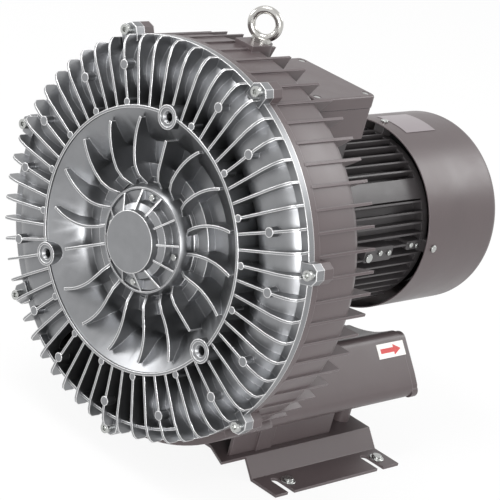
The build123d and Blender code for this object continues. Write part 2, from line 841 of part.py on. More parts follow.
with BuildPart() as fan_clip:
    with BuildSketch(station(fan_start + fan_hub_length)):
        Circle(fan_seat + 5)
        Circle(clip_groove + press_gap, mode=Mode.SUBTRACT)
        with Locations((0, -fan_seat)):
            Rectangle(6, 16, mode=Mode.SUBTRACT)
    extrude(amount=-clip_width)
keep(fan_clip, "fan_clip")


# ---------------------------------------------------------------- bearings
def ball_bearing(bearing, start, name):
    """The four pieces of one deep-groove ball bearing; each is kept under its own name."""
    bore, outside, width, ball, count = bearing
    pitch = (bore + outside) / 2
    middle = start + width / 2
    wall = (outside - bore) / 2
    shoulder = ball * 0.55
    with BuildPart() as inner_race:
        with BuildSketch(profile_plane):
            band(start, start + width, bore + press_gap, pitch - shoulder)
            disc_at(middle, ball + race_gap, pitch, Mode.SUBTRACT)
        revolve(axis=shaft_axis)
    keep(inner_race, f"{name}_inner_race")
    with BuildPart() as outer_race:
        with BuildSketch(profile_plane):
            band(start, start + width, pitch + shoulder, outside)
            disc_at(middle, ball + race_gap, pitch, Mode.SUBTRACT)
        revolve(axis=shaft_axis)
    keep(outer_race, f"{name}_outer_race")
    places = []
    for n in range(count):
        across, up = polar(pitch, 90 + n * 360 / count)
        places.append((across, joint_y + middle, shaft_height + up))
    with BuildPart() as balls:
        with Locations(*places):
            Sphere(ball)
    keep(balls, f"{name}_balls")
    with BuildPart() as cage:
        with BuildSketch(profile_plane):
            band(middle - ball - 1.5, middle + ball + 1.5, pitch - wall * 0.13, pitch + wall * 0.13)
        revolve(axis=shaft_axis)
        for across, along, up in places:
            outward = (across, 0, up - shaft_height)
            with Locations(Plane(origin=(across, along, up), z_dir=outward)):
                Cylinder(ball + race_gap, wall, mode=Mode.SUBTRACT)
    keep(cage, f"{name}_cage")


ball_bearing(front_bearing, front_bearing_start, "front_bearing")
ball_bearing(rear_bearing, rear_bearing_start, "rear_bearing")

with BuildPart() as shaft_seal:
    with BuildSketch(profile_plane):
        band(
            back_wall_front,
            back_wall_front + back_wall,
            front_bearing[0] + running_gap,
            seal_radius - press_gap,
        )
    revolve(axis=shaft_axis)
keep(shaft_seal, "shaft_seal")

retainer_start = front_bearing_start + front_bearing[2]
retainer_thickness = 4.0
with BuildPart() as bearing_retainer:
    with BuildSketch(station(retainer_start)):
        Circle(front_bore + 10)
        Circle(front_bearing[1] - 9, mode=Mode.SUBTRACT)
        with PolarLocations(retainer_screw_pitch, 3, 90):
            Circle(m5_radius + 0.3, mode=Mode.SUBTRACT)
    extrude(amount=-retainer_thickness)
keep(bearing_retainer, "bearing_retainer")

with BuildPart() as retainer_screws:
    with BuildSketch(station(retainer_start + retainer_thickness)):
        with PolarLocations(retainer_screw_pitch, 3, 90):
            Circle(4.5)
    extrude(amount=-4)
    with BuildSketch(station(retainer_start + retainer_thickness)):
        with PolarLocations(retainer_screw_pitch, 3, 90):
            Circle(m5_radius)
    extrude(amount=retainer_thickness + 12)
keep(retainer_screws, "retainer_screws")

wave_start = rear_bearing_start + rear_bearing[2]
wave_thickness = 2.0
with BuildPart() as wave_washer:
    with BuildSketch(station(wave_start)):
        Circle(rear_bearing[1] - 0.3)
        Circle(rear_bearing[1] - 5, mode=Mode.SUBTRACT)
    extrude(amount=-wave_thickness)
keep(wave_washer, "wave_washer")


# ---------------------------------------------------------------- motor
stator_bore = rotor_radius + air_gap
slot_count = 24
slot_inner = stator_bore + 3.5
slot_outer = slot_inner + 15
winding_reach = 24.0
frame_flange = 10.0
pad_half_width = 52.0
pad_start = 152.0
pad_end = 252.0
lead_hole = 20.0
shield_screw_pitch = 105.0
m6_radius = 3.0
cowl_screw_station = 388.0
cowl_screw_angles = [1.5 + 90 * n for n in range(4)]
cowl_inner = cowl_radius - cowl_sheet
earth_pad = (262.0, 318.0)  # start and end behind the joint
# station, place across, head and thread radius of each screw on the panel
earth_screws = [
    (270, -3, 6.0, 3.0),
    (291, 2, 3.6, 2.0),
    (309, 1, 3.6, 2.0),
    (352, 7.5, 3.6, 2.0),
    (366, 5, 3.6, 2.0),
]
side_pad_face = 117.0

with BuildPart() as stator_core:
    with BuildSketch(station(rotor_start)):
        Circle(frame_bore - press_gap)
        Circle(stator_bore, mode=Mode.SUBTRACT)
        with PolarLocations((slot_inner + slot_outer) / 2, slot_count):
            Rectangle(slot_outer - slot_inner, 8, mode=Mode.SUBTRACT)
    extrude(amount=-rotor_length)
keep(stator_core, "stator_core")

with BuildPart() as stator_windings:
    with BuildSketch(station(rotor_start - 1)):
        with PolarLocations((slot_inner + slot_outer) / 2, slot_count):
            Rectangle(slot_outer - slot_inner - 1, 7)
    extrude(amount=-rotor_length - 2)
    with BuildSketch(profile_plane):
        for start in (rotor_start - 1 - winding_reach, rotor_start + rotor_length + 1):
            with Locations((start + winding_reach / 2, slot_inner + 10)):
                RectangleRounded(winding_reach, 20, 6)
    revolve(axis=shaft_axis)
keep(stator_windings, "stator_windings")

with BuildPart() as motor_frame:
    with BuildSketch(profile_plane):
        band(motor_flange, frame_end, frame_bore, frame_tube)
        band(motor_flange, motor_flange + frame_flange, frame_bore, motor_flange_radius)
    revolve(axis=shaft_axis)
    with BuildSketch(station(motor_flange + frame_flange - 1)):
        for n in range(motor_fin_count):
            angle = 90 + (n + 0.5) * 360 / motor_fin_count
            side = math.degrees(math.asin(math.sin(math.radians(angle))))
            if not frame_panel_start < side < frame_panel_start + frame_panel_sweep:
                with Locations(Location(polar((frame_tube - 1 + motor_fin_tip) / 2, angle), angle)):
                    Rectangle(motor_fin_tip - frame_tube + 1, motor_fin_thickness)
        # smooth panels on both shoulders
        for start in (frame_panel_start, 180 - frame_panel_start - frame_panel_sweep):
            sector(frame_tube - 1, frame_panel_radius, start, frame_panel_sweep)
    extrude(amount=-(frame_end - motor_flange - frame_flange + 1))
    # seat of the terminal box, side pads and the bosses of the end shield's screws
    with BuildSketch(level(shaft_height + box_bottom)):
        with Locations((0, (pad_start + pad_end) / 2)):
            RectangleRounded(2 * pad_half_width, pad_end - pad_start, 8)
    extrude(amount=-(box_bottom - frame_bore - 2))
    with BuildSketch(profile_plane):
        with Locations(((earth_pad[0] + earth_pad[1]) / 2, 0)):
            RectangleRounded(earth_pad[1] - earth_pad[0], 20, 4)
        with Locations((359, 6)):
            RectangleRounded(28, 12, 4)
    extrude(amount=side_pad_face)
    with BuildSketch(station(frame_end - 30)):
        for angle in motor_screw_angles:
            with Locations(polar(shield_screw_pitch, angle)):
                Circle(8)
    extrude(amount=-30)
    with BuildSketch(station(motor_flange)):
        Circle(frame_bore)
    extrude(amount=-(frame_end - motor_flange), mode=Mode.SUBTRACT)
    with BuildSketch(level(shaft_height + box_bottom)):
        with Locations((0, (pad_start + pad_end) / 2)):
            Circle(lead_hole)
    extrude(amount=-box_bottom, mode=Mode.SUBTRACT)
    with BuildSketch(station(motor_flange + frame_flange)):
        for angle in motor_screw_angles:
            with Locations(polar(motor_screw_pitch, angle)):
                Circle(9.5)
    extrude(amount=-26, mode=Mode.SUBTRACT)
    with BuildSketch(station(motor_flange)):
        for angle in motor_screw_angles:
            with Locations(polar(motor_screw_pitch, angle)):
                Circle(motor_screw_radius + 0.5)
    extrude(amount=-frame_flange, mode=Mode.SUBTRACT)
    with BuildSketch(station(frame_end)):
        for angle in motor_screw_angles:
            with Locations(polar(shield_screw_pitch, angle)):
                Circle(m6_radius + press_gap)
    extrude(amount=20, mode=Mode.SUBTRACT)
keep(motor_frame, "motor_frame")

with BuildPart() as frame_screws:
    with BuildSketch(station(motor_flange + frame_flange)):
        for angle in motor_screw_angles:
            with Locations(polar(motor_screw_pitch, angle)):
                Circle(8)
                RegularPolygon(4, 6, major_radius=False, mode=Mode.SUBTRACT)
    extrude(amount=-10)
    with BuildSketch(station(motor_flange + frame_flange)):
        for angle in motor_screw_angles:
            with Locations(polar(motor_screw_pitch, angle)):
                Circle(motor_screw_radius)
    extrude(amount=frame_flange + 18)
keep(frame_screws, "frame_screws")

with BuildPart() as end_shield:
    with BuildSketch(profile_plane):
        band(frame_end, frame_end + shield_thickness, rear_bearing[1] + press_gap, 113)
        band(frame_end - 6, frame_end, frame_bore - 8, frame_bore - press_gap)
        band(frame_end, wave_start + wave_thickness, rear_bearing[1] + press_gap, rear_bearing[1] + 10)
        band(
            wave_start + wave_thickness,
            wave_start + wave_thickness + 4,
            fan_seat + 3,
            rear_bearing[1] + 10,
        )
    revolve(axis=shaft_axis)
    with BuildSketch(station(cowl_screw_station - 8)):
        for angle in cowl_screw_angles:
            with Locations(Location(polar(112, angle), angle)):
                Rectangle(2 * (cowl_inner - 112) - 0.6, 16)
    extrude(amount=-16)
    with BuildSketch(station(frame_end)):
        for angle in motor_screw_angles:
            with Locations(polar(shield_screw_pitch, angle)):
                Circle(m6_radius + 0.4)
    extrude(amount=-shield_thickness, mode=Mode.SUBTRACT)
    for angle in cowl_screw_angles:
        across, up = polar(100, angle)
        seat = Plane(
            origin=(across, joint_y + cowl_screw_station, shaft_height + up), z_dir=(across, 0, up)
        )
        with Locations(seat):
            Cylinder(m5_radius + press_gap, 40, align=from_start, mode=Mode.SUBTRACT)
keep(end_shield, "end_shield")

with BuildPart() as shield_screws:
    with BuildSketch(station(frame_end + shield_thickness)):
        for angle in motor_screw_angles:
            with Locations(polar(shield_screw_pitch, angle)):
                RegularPolygon(5, 6, major_radius=False)
    extrude(amount=-4)
    with BuildSketch(station(frame_end + shield_thickness)):
        for angle in motor_screw_angles:
            with Locations(polar(shield_screw_pitch, angle)):
                Circle(m6_radius)
    extrude(amount=shield_thickness + 18)
keep(shield_screws, "shield_screws")

grille_rings = 6
grille_inner = 22.0
grille_pitch = 13.0
grille_gap = 8.0
grille_spokes = 8
with BuildPart() as fan_cowl:
    with BuildSketch(profile_plane):
        with BuildLine() as outline:
            Line((cowl_front, cowl_radius), (tail_reach - cowl_corner, cowl_radius))
            JernArc((tail_reach - cowl_corner, cowl_radius), (1, 0), cowl_corner, -90)
            Line((tail_reach, cowl_radius - cowl_corner), (tail_reach, 0))
            Line((tail_reach, 0), (tail_reach - cowl_sheet, 0))
            Line((tail_reach - cowl_sheet, 0), (tail_reach - cowl_sheet, cowl_radius - cowl_corner))
            JernArc(
                (tail_reach - cowl_corner, cowl_inner), (1, 0), cowl_corner - cowl_sheet, -90
            )
            Line((tail_reach - cowl_corner, cowl_inner), (cowl_front, cowl_inner))
            Line((cowl_front, cowl_inner), (cowl_front, cowl_radius))
        make_face(outline.edges())
    revolve(axis=shaft_axis)
    with BuildSketch(station(tail_reach)):
        for ring in range(grille_rings):
            inner = grille_inner + ring * grille_pitch
            for spoke in range(grille_spokes):
                half_land = math.degrees(2.5 / (inner + grille_gap / 2))
                start = spoke * 360 / grille_spokes + half_land
                sector(inner, inner + grille_gap, start, 360 / grille_spokes - 2 * half_land)
    extrude(amount=5, mode=Mode.SUBTRACT)
    for angle in cowl_screw_angles:
        across, up = polar(100, angle)
        seat = Plane(
            origin=(across, joint_y + cowl_screw_station, shaft_height + up), z_dir=(across, 0, up)
        )
        with Locations(seat):
            Cylinder(m5_radius + 0.3, 40, align=from_start, mode=Mode.SUBTRACT)
keep(fan_cowl, "fan_cowl")

with BuildPart() as cowl_screws:
    for angle in cowl_screw_angles:
        across, up = polar(cowl_radius, angle)
        seat = Plane(
            origin=(across, joint_y + cowl_screw_station, shaft_height + up), z_dir=(across, 0, up)
        )
        with Locations(seat):
            Cylinder(5, 2.8, align=from_start)
            Cylinder(m5_radius, 16, align=(Align.CENTER, Align.CENTER, Align.MAX))
keep(cowl_screws, "cowl_screws")

with BuildPart() as earth_screw_set:
    for start, up, head, thread in earth_screws:
        with Locations(Plane(origin=(side_pad_face, joint_y + start, shaft_height + up), z_dir=(1, 0, 0))):
            Cylinder(head, 3, align=from_start)
keep(earth_screw_set, "earth_screws")


# ---------------------------------------------------------------- terminal box
box_middle = (box_start + box_end) / 2
box_length = box_end - box_start
lid_screw_places = [(x, y) for x in (-56, 56) for y in (box_middle - 47, box_middle + 47)]
box_screw_places = [(x, y) for x in (-40, 40) for y in (box_middle - 38, box_middle + 38)]
stud_places = [(x, y) for x in (-20, 0, 20) for y in (box_middle - 34, box_middle - 18)]
gland_height = 164.0
block_height = 14.0

with BuildPart() as terminal_box:
    with BuildSketch(level(shaft_height + box_bottom)):
        with Locations((0, box_middle)):
            RectangleRounded(2 * box_half_width, box_length, 8)
    extrude(amount=box_top - box_bottom)
    with BuildSketch(level(shaft_height + box_bottom + box_wall)):
        with Locations((0, box_middle)):
            RectangleRounded(2 * (box_half_width - box_wall), box_length - 2 * box_wall, 6)
    extrude(amount=box_top, mode=Mode.SUBTRACT)
    with BuildSketch(level(shaft_height + box_bottom)):
        with Locations(*lid_screw_places):
            Rectangle(14, 14)
    extrude(amount=box_top - box_bottom)
    with BuildSketch(level(shaft_height + box_bottom)):
        with Locations((0, box_middle + 12)):
            Circle(lead_hole - 4)
    extrude(amount=box_wall, mode=Mode.SUBTRACT)
    with BuildSketch(level(shaft_height + box_bottom)):
        with Locations(*box_screw_places):
            Circle(m5_radius + 0.3)
    extrude(amount=box_wall, mode=Mode.SUBTRACT)
    with BuildSketch(level(shaft_height + box_top)):
        with Locations(*lid_screw_places):
            Circle(m5_radius + press_gap)
    extrude(amount=-14, mode=Mode.SUBTRACT)
    seat = Plane(
        origin=(-box_half_width, joint_y, shaft_height), x_dir=(0, 1, 0), z_dir=(1, 0, 0)
    )
    with BuildSketch(seat):
        with Locations((box_middle - 24, gland_height), (box_middle + 24, gland_height)):
            Circle(12 + press_gap)
    extrude(amount=box_wall, mode=Mode.SUBTRACT)
keep(terminal_box, "terminal_box")

with BuildPart() as box_gasket:
    with BuildSketch(level(shaft_height + box_top)):
        with Locations((0, box_middle)):
            RectangleRounded(2 * box_half_width - 1, box_length - 1, 7.5)
            RectangleRounded(
                2 * (box_half_width - box_wall),
                box_length - 2 * box_wall,
                6,
                mode=Mode.SUBTRACT,
            )
    extrude(amount=gasket)
keep(box_gasket, "box_gasket")

lid_bottom = box_top + gasket
with BuildPart() as box_lid:
    with BuildSketch(level(shaft_height + lid_bottom)):
        with Locations((0, box_middle)):
            RectangleRounded(2 * box_half_width + 2, box_length + 2, 9)
    extrude(amount=lid_height)
    fillet(box_lid.faces().sort_by(Axis.Z)[-1].edges(), 3)
    with BuildSketch(level(shaft_height + lid_bottom)):
        with Locations((0, box_middle)):
            RectangleRounded(2 * (box_half_width - box_wall), box_length - 2 * box_wall, 6)
    extrude(amount=lid_height - box_wall, mode=Mode.SUBTRACT)
    with BuildSketch(level(shaft_height + lid_bottom)):
        with Locations(*lid_screw_places):
            Rectangle(14, 14)
    extrude(amount=lid_height - 1)
    with BuildSketch(level(shaft_height + lid_bottom)):
        with Locations(*lid_screw_places):
            Circle(m5_radius + 0.3)
    extrude(amount=lid_height, mode=Mode.SUBTRACT)
    with BuildSketch(level(shaft_height + lid_bottom + lid_height)):
        with Locations(*lid_screw_places):
            Circle(5.2)
    extrude(amount=-4, mode=Mode.SUBTRACT)
keep(box_lid, "box_lid")

with BuildPart() as lid_screws:
    with BuildSketch(level(shaft_height + lid_bottom + lid_height - 4)):
        with Locations(*lid_screw_places):
            Circle(4.8)
    extrude(amount=3.4)
    with BuildSketch(level(shaft_height + lid_bottom + lid_height - 4)):
        with Locations(*lid_screw_places):
            Circle(m5_radius)
    extrude(amount=-(lid_height - 4 + gasket + 12))
keep(lid_screws, "lid_screws")

with BuildPart() as box_screws:
    with BuildSketch(level(shaft_height + box_bottom + box_wall)):
        with Locations(*box_screw_places):
            Circle(4.6)
    extrude(amount=4)
    with BuildSketch(level(shaft_height + box_bottom + box_wall)):
        with Locations(*box_screw_places):
            Circle(m5_radius)
    extrude(amount=-box_wall)
keep(box_screws, "box_screws")

with BuildPart() as terminal_block:
    with BuildSketch(level(shaft_height + box_bottom + box_wall)):
        with Locations((0, box_middle - 26)):
            RectangleRounded(62, 36, 4)
    extrude(amount=block_height)
    with BuildSketch(level(shaft_height + box_bottom + box_wall)):
        with Locations(*stud_places):
            Circle(m5_radius + press_gap)
    extrude(amount=block_height, mode=Mode.SUBTRACT)
keep(terminal_block, "terminal_block")

with BuildPart() as terminal_studs:
    with BuildSketch(level(shaft_height + box_bottom + box_wall + 2)):
        with Locations(*stud_places):
            Circle(m5_radius)
    extrude(amount=block_height + 12)
    with BuildSketch(level(shaft_height + box_bottom + box_wall + block_height)):
        with Locations(*stud_places):
            RegularPolygon(4, 6, major_radius=False)
    extrude(amount=4)
keep(terminal_studs, "terminal_studs")

gland_plane = Plane(origin=(-box_half_width, joint_y, shaft_height), x_dir=(0, -1, 0), z_dir=(-1, 0, 0))
with BuildPart() as cable_gland:
    with BuildSketch(gland_plane):
        with Locations((-(box_middle - 24), gland_height)):
            RegularPolygon(14, 6, major_radius=False)
    extrude(amount=6)
    with BuildSketch(gland_plane.offset(6)):
        with Locations((-(box_middle - 24), gland_height)):
            Circle(13.5)
    extrude(amount=18, taper=6)
    with BuildSketch(gland_plane):
        with Locations((-(box_middle - 24), gland_height)):
            Circle(12)
    extrude(amount=-box_wall - 5)
    with BuildSketch(gland_plane.offset(24)):
        with Locations((-(box_middle - 24), gland_height)):
            Circle(7)
    extrude(amount=-40, mode=Mode.SUBTRACT)
keep(cable_gland, "cable_gland")

with BuildPart() as blanking_plug:
    with BuildSketch(gland_plane):
        with Locations((-(box_middle + 24), gland_height)):
            RegularPolygon(13, 6, major_radius=False)
    extrude(amount=5)
    with BuildSketch(gland_plane):
        with Locations((-(box_middle + 24), gland_height)):
            Circle(12)
    extrude(amount=-box_wall - 3)
keep(blanking_plug, "blanking_plug")


# ---------------------------------------------------------------- lifting eye
eye_centre = shaft_height + eye_seat + eye_ring_outer
with BuildPart() as lifting_eye:
    with BuildSketch(level(shaft_height + eye_seat)):
        with Locations((0, eye_station)):
            Circle(eye_collar_radius)
    extrude(amount=6)
    with BuildSketch(level(shaft_height + eye_seat)):
        with Locations((0, eye_station)):
            Circle(eye_thread_radius)
    extrude(amount=-eye_thread_length)
    turn = math.radians(eye_turn)
    seat = Plane(
        origin=(0, joint_y + eye_station, eye_centre), z_dir=(math.sin(turn), -math.cos(turn), 0)
    )
    with Locations(seat):
        Torus(eye_ring_outer - eye_wire, eye_wire)
keep(lifting_eye, "lifting_eye")


# ---------------------------------------------------------------- silencers and ports
outer_face = duct_section()
inner_face = offset(outer_face, amount=-duct_wall)
liner_hole = offset(outer_face, amount=-duct_wall - 0.5 - liner_wall)
liner_face = offset(outer_face, amount=-duct_wall - 0.5)
collar_radius = port_bore + 8
flange_start = duct_end + gasket
ear_place = polar(249, -54.0)
ear_radius = 9.0
foot_pads = [(90.0, 150.0), (90.0, 350.0)]  # x, behind the joint
foot_pad_radius = 12.0


def keep_pair(builder, name):
    """Write a right-hand piece and, under its own name, its mirror image on the left."""
    right = builder.part
    left = mirror(right, about=profile_plane)
    for piece, side in ((right, "right"), (left, "left")):
        piece.label = f"{name}_{side}"
        export_step(piece, f"parts/{name}_{side}.step")
    print(f"{name}: 2 x {len(right.solids())} solids, {right.volume:.0f} mm3")


def keep_both(builder, name):
    """Write small right-hand pieces and their mirror images together under one name."""
    right = builder.part.solids()
    both = Compound(label=name, children=right + [mirror(one, about=profile_plane) for one in right])
    export_step(both, f"parts/{name}.step")
    print(f"{name}: {len(both.solids())} solids, {both.volume:.0f} mm3")


with BuildPart() as silencer:
    with BuildSketch(station(duct_start)):
        add(outer_face)
    extrude(amount=-(duct_end - duct_start))
    with BuildSketch(level(foot_ridge)):
        with Locations(*foot_pads):
            Circle(foot_pad_radius)
    extrude(amount=shaft_height - duct_outer + 30 - foot_ridge)
    with BuildSketch(station(duct_start + duct_wall)):
        add(inner_face)
    extrude(amount=-(duct_end - duct_start - 2 * duct_wall), mode=Mode.SUBTRACT)
    with BuildSketch(station(duct_start)):
        for radius, angle in duct_screws:
            with Locations(polar(radius, angle)):
                Circle(8)
    extrude(amount=-(duct_end - duct_start))
    with BuildSketch(station(duct_start)):
        with Locations(port_centres[0]):
            Circle(port_bore)
    extrude(amount=-duct_wall, mode=Mode.SUBTRACT)
    with BuildSketch(station(duct_end)):
        with Locations(port_centres[0]):
            Circle(collar_radius + 0.5)
    extrude(amount=duct_wall, mode=Mode.SUBTRACT)
    with BuildSketch(station(duct_start)):
        for radius, angle in duct_screws:
            with Locations(polar(radius, angle)):
                Circle(m8_radius + 0.4)
    extrude(amount=-(duct_end - duct_start), mode=Mode.SUBTRACT)
    with BuildSketch(level(foot_ridge)):
        with Locations(*foot_pads):
            Circle(m8_radius + press_gap)
    extrude(amount=16, mode=Mode.SUBTRACT)
keep_pair(silencer, "silencer")

with BuildPart() as liner:
    with BuildSketch(station(duct_start + duct_wall + 0.5)):
        add(liner_face)
        add(liner_hole, mode=Mode.SUBTRACT)
        for radius, angle in duct_screws:
            with Locations(polar(radius, angle)):
                Circle(8.5, mode=Mode.SUBTRACT)
    extrude(amount=-(duct_end - duct_start - 3 * duct_wall - 5))
keep_both(liner, "silencer_liners")

with BuildPart() as front_gasket:
    with BuildSketch(station(duct_start - gasket)):
        add(offset(outer_face, amount=-1))
        with Locations(port_centres[0]):
            Circle(port_bore, mode=Mode.SUBTRACT)
        for radius, angle in duct_screws:
            with Locations(polar(radius, angle)):
                Circle(m8_radius + 0.4, mode=Mode.SUBTRACT)
    extrude(amount=-gasket)
keep_both(front_gasket, "duct_gaskets")

with BuildPart() as rear_gasket:
    with BuildSketch(station(duct_end)):
        add(offset(outer_face, amount=-3))
        with Locations(port_centres[0]):
            Circle(collar_radius + 0.5, mode=Mode.SUBTRACT)
        for radius, angle in duct_screws:
            with Locations(polar(radius, angle)):
                Circle(m8_radius + 0.4, mode=Mode.SUBTRACT)
    extrude(amount=-gasket)
keep_both(rear_gasket, "port_gaskets")

with BuildPart() as port_plate:
    with BuildSketch(station(flange_start)):
        add(offset(outer_face, amount=-2))
        with Locations(ear_place):
            Circle(ear_radius)
    extrude(amount=-port_flange)
    with BuildSketch(station(flange_start - port_flange)):
        with Locations(port_centres[0]):
            Circle(collar_radius)
    extrude(amount=-port_flange)
    with BuildSketch(station(flange_start - port_flange)):
        with Locations(port_centres[0]):
            Circle(port_bore)
    extrude(amount=-2 * port_flange, mode=Mode.SUBTRACT)
    with BuildSketch(station(flange_start)):
        for radius, angle in duct_screws:
            with Locations(polar(radius, angle)):
                Circle(m8_radius + 0.4)
    extrude(amount=-port_flange, mode=Mode.SUBTRACT)
keep_pair(port_plate, "port_flange")

with BuildPart() as duct_bolts:
    with BuildSketch(station(flange_start + port_flange)):
        for radius, angle in duct_screws:
            with Locations(polar(radius, angle)):
                RegularPolygon(m8_head_radius, 6, major_radius=False)
    extrude(amount=-5.3)
    with BuildSketch(station(flange_start + port_flange)):
        for radius, angle in duct_screws:
            with Locations(polar(radius, angle)):
                Circle(m8_radius)
    extrude(amount=flange_start + port_flange - duct_start + gasket + 16)
keep_both(duct_bolts, "duct_bolts")

label_thickness = 0.3
label_lift = 0.3
with BuildPart() as flow_label:
    with BuildSketch(station(348)):
        with Locations(Location(polar(191, duct_far), duct_far)):
            with Locations((0, label_thickness / 2)):
                Rectangle(20, label_thickness)
    extrude(amount=-56)
keep_both(flow_label, "flow_labels")

with BuildPart() as cowl_label:
    with BuildSketch(station(398)):
        sector(cowl_radius + label_lift, cowl_radius + label_lift + label_thickness, 77, 24)
    extrude(amount=-62)
keep(cowl_label, "cowl_label")


# ---------------------------------------------------------------- feet
bend_shift = foot_sheet * math.tan(math.atan2(foot_ridge - foot_sheet, foot_bend - 122) / 2)
ridge_edge = 122.0
foot_section = [
    (foot_outer, 0),
    (foot_bend, 0),
    (ridge_edge, foot_ridge - foot_sheet),
    (foot_inner, foot_ridge - foot_sheet),
    (foot_inner, foot_ridge),
    (ridge_edge + bend_shift, foot_ridge),
    (foot_bend + bend_shift, foot_sheet),
    (foot_outer, foot_sheet),
]
slot_stations = [foot_front + slot_from_front + n * slot_pitch for n in range(2)]
tapped_stations = [start + 16 for start in slot_stations]
spare_hole_x = 164.0
post_x = 110.0
tab_thickness = 3.0
front_plane = Plane(origin=(0, joint_y + foot_front, 0), x_dir=(1, 0, 0), z_dir=(0, -1, 0))

with BuildPart() as foot:
    with BuildSketch(front_plane):
        with BuildLine() as outline:
            Polyline(*foot_section, close=True)
        make_face(outline.edges())
    extrude(amount=-(foot_back - foot_front))
    with BuildSketch(level(foot_ridge - foot_sheet)):
        with BuildLine() as outline:
            Polyline(
                (foot_inner, foot_front + 1),
                (ridge_edge + bend_shift, foot_front + 1),
                (ridge_edge + bend_shift, foot_front - foot_tongue),
                (85, foot_front - 26),
                (foot_inner, foot_front - 26),
                close=True,
            )
        make_face(outline.edges())
    extrude(amount=foot_sheet)
    with BuildSketch(level(0)):
        for start in slot_stations:
            with Locations((foot_outer - slot_depth + slot_width / 2, start)):
                Circle(slot_width / 2)
            with Locations((foot_outer - (slot_depth - slot_width / 2) / 2 + 1, start)):
                Rectangle(slot_depth - slot_width / 2 + 2, slot_width)
    extrude(amount=foot_sheet, mode=Mode.SUBTRACT)
    with BuildSketch(level(0)):
        for start in tapped_stations:
            with Locations((spare_hole_x, start)):
                Circle(m8_radius + press_gap)
    extrude(amount=foot_sheet, mode=Mode.SUBTRACT)
    with BuildSketch(level(foot_ridge - foot_sheet)):
        with Locations(*foot_pads):
            Circle(m8_radius + 0.4)
    extrude(amount=foot_sheet, mode=Mode.SUBTRACT)
keep_pair(foot, "foot")

with BuildPart() as foot_bracket:
    with BuildSketch(level(foot_ridge)):
        with Locations((post_x + post_thickness / 2, (bracket_start + bracket_end) / 2)):
            Rectangle(post_thickness, bracket_end - bracket_start)
        with Locations((post_x + post_thickness + tab_thickness / 2, 165)):
            Rectangle(tab_thickness, 30)
    extrude(amount=60)
    with BuildSketch(station(90)):
        Circle(duct_outer + press_gap)
    extrude(amount=-(foot_back - 80), mode=Mode.SUBTRACT)
keep_pair(foot_bracket, "foot_bracket")

with BuildPart() as foot_screws:
    for start in tapped_stations:
        with Locations((spare_hole_x, joint_y + start, foot_sheet)):
            Cylinder(10, 1.6, align=from_start)
            Cylinder(6.5, 5, align=from_start)
            Cylinder(m8_radius, foot_sheet - 0.5, align=(Align.CENTER, Align.CENTER, Align.MAX))
keep_both(foot_screws, "foot_screws")

with BuildPart() as foot_bolts:
    for across, start in foot_pads:
        with Locations((across, joint_y + start, foot_ridge - foot_sheet)):
            Cylinder(m8_radius, 18, align=from_start)
            Cylinder(7.2, 5.3, align=(Align.CENTER, Align.CENTER, Align.MAX))
keep_both(foot_bolts, "foot_bolts")
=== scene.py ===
# Side channel blower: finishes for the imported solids, softened edges, printed arrows,
# light and camera.  One unit is a metre.
import json
import math

import bmesh
import bpy
import numpy as np
from mathutils import Matrix, Vector


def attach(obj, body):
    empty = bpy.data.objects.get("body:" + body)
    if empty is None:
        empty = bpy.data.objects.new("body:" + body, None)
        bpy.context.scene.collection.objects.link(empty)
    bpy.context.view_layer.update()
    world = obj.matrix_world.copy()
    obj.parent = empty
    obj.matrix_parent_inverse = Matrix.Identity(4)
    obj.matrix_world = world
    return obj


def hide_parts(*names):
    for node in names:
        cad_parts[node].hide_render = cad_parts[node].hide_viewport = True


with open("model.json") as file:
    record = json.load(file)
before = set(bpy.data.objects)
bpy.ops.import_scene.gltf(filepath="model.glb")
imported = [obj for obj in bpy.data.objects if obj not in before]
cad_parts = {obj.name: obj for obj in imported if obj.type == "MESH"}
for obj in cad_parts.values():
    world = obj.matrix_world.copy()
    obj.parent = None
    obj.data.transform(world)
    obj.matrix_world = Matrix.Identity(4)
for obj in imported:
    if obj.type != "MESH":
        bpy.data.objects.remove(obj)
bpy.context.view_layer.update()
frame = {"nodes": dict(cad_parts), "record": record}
print("frame loaded")

mm = 0.001
shaftHeight = 290 * mm
jointY = -237.5 * mm  # where the cover meets the housing
bodyMiddle = Vector((0, -50 * mm, 280 * mm))  # what the lamps look at

# how the copies of nodes are cleaned and rounded; cloudRange is the part of the noise that is used
softening = {
    "mergeDistance": 0.01 * mm,
    "flatAngle": math.radians(0.6),
    "edgeAngle": math.radians(32),
    "segments": 2,
}
cloudRange = (0.3, 0.7)
edgeHighlightOpenness = (0.95, 0.6)  # openness inside the solid, off an edge and at its line, where the painted edge highlight fades in


# sRGB hex string to linear RGBA
def hexColour(code):
    parts = [int(code[start : start + 2], 16) / 255 for start in (0, 2, 4)]
    linear = [part / 12.92 if part <= 0.04045 else ((part + 0.055) / 1.055) ** 2.4 for part in parts]
    return linear + [1]


# adds a node, sets its sockets or properties, and links other sockets into it
def addNode(tree, kind, settings=None, links=None):
    made = tree.nodes.new(kind)
    for key, value in (settings or {}).items():
        if isinstance(key, int) or key in made.inputs.keys():
            made.inputs[key].default_value = value
        else:
            setattr(made, key, value)
    for key, source in (links or {}).items():
        tree.links.new(source, made.inputs[key])
    return made
